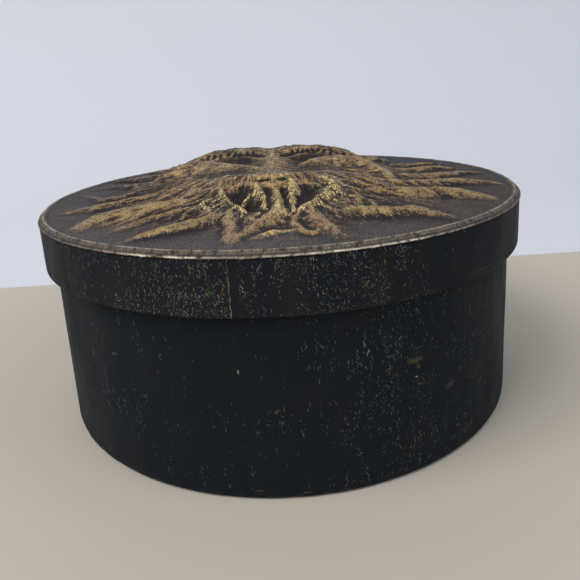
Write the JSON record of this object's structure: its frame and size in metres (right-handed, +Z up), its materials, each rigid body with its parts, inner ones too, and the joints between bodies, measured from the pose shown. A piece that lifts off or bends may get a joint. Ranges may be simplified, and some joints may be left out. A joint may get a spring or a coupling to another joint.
{
  "type": "collar box",
  "caption": "Round board box with a deep lift-off lid, covered in worn black grained paper, the lid's top pressed into a high gilded lion's mask whose mane spreads to a stitched border.",
  "frame": {"origin": "centre of the underside, which the box stands on", "axes": "+Z up along the box's axis, -Y towards the front, the lion's chin, +X to the viewer's right"},
  "size_m": [0.18, 0.18, 0.0898],
  "materials": {
    "drum_cover": "near-black grained covering paper, matt, with fine upright worn flecks of bronze",
    "skirt_cover": "near-black grained covering paper, dense upright worn flecks of bronze, gold-worn edges",
    "base_cover": "plain black covering paper, scuffed",
    "gilded_relief": "pressed and embossed, black with bronze-gold rubbed over the high places and grey dust on the flats",
    "board": "raw grey-brown strawboard",
    "lining": "aged cream lining paper, slightly glossy, foxed",
    "tape": "brown gummed paper tape"
  },
  "bodies": {
    "box": {"body_wall": "board", "wall_joint_tape": "tape", "base_board": "board", "body_cover": "drum_cover", "base_cover": "base_cover", "body_lining": "lining", "base_lining": "lining"},
    "lid": {"relief_panel": "gilded_relief", "lid_board": "board", "lid_skirt": "board", "skirt_joint_tape": "tape", "skirt_cover": "skirt_cover", "lid_lining": "lining", "skirt_lining": "lining"}
  },
  "joints": [
    {"name": "lid_lift", "type": "slide", "parent": "box", "child": "lid", "axis": [0, 0, 1], "range_m": [0, 0.12]}
  ]
}
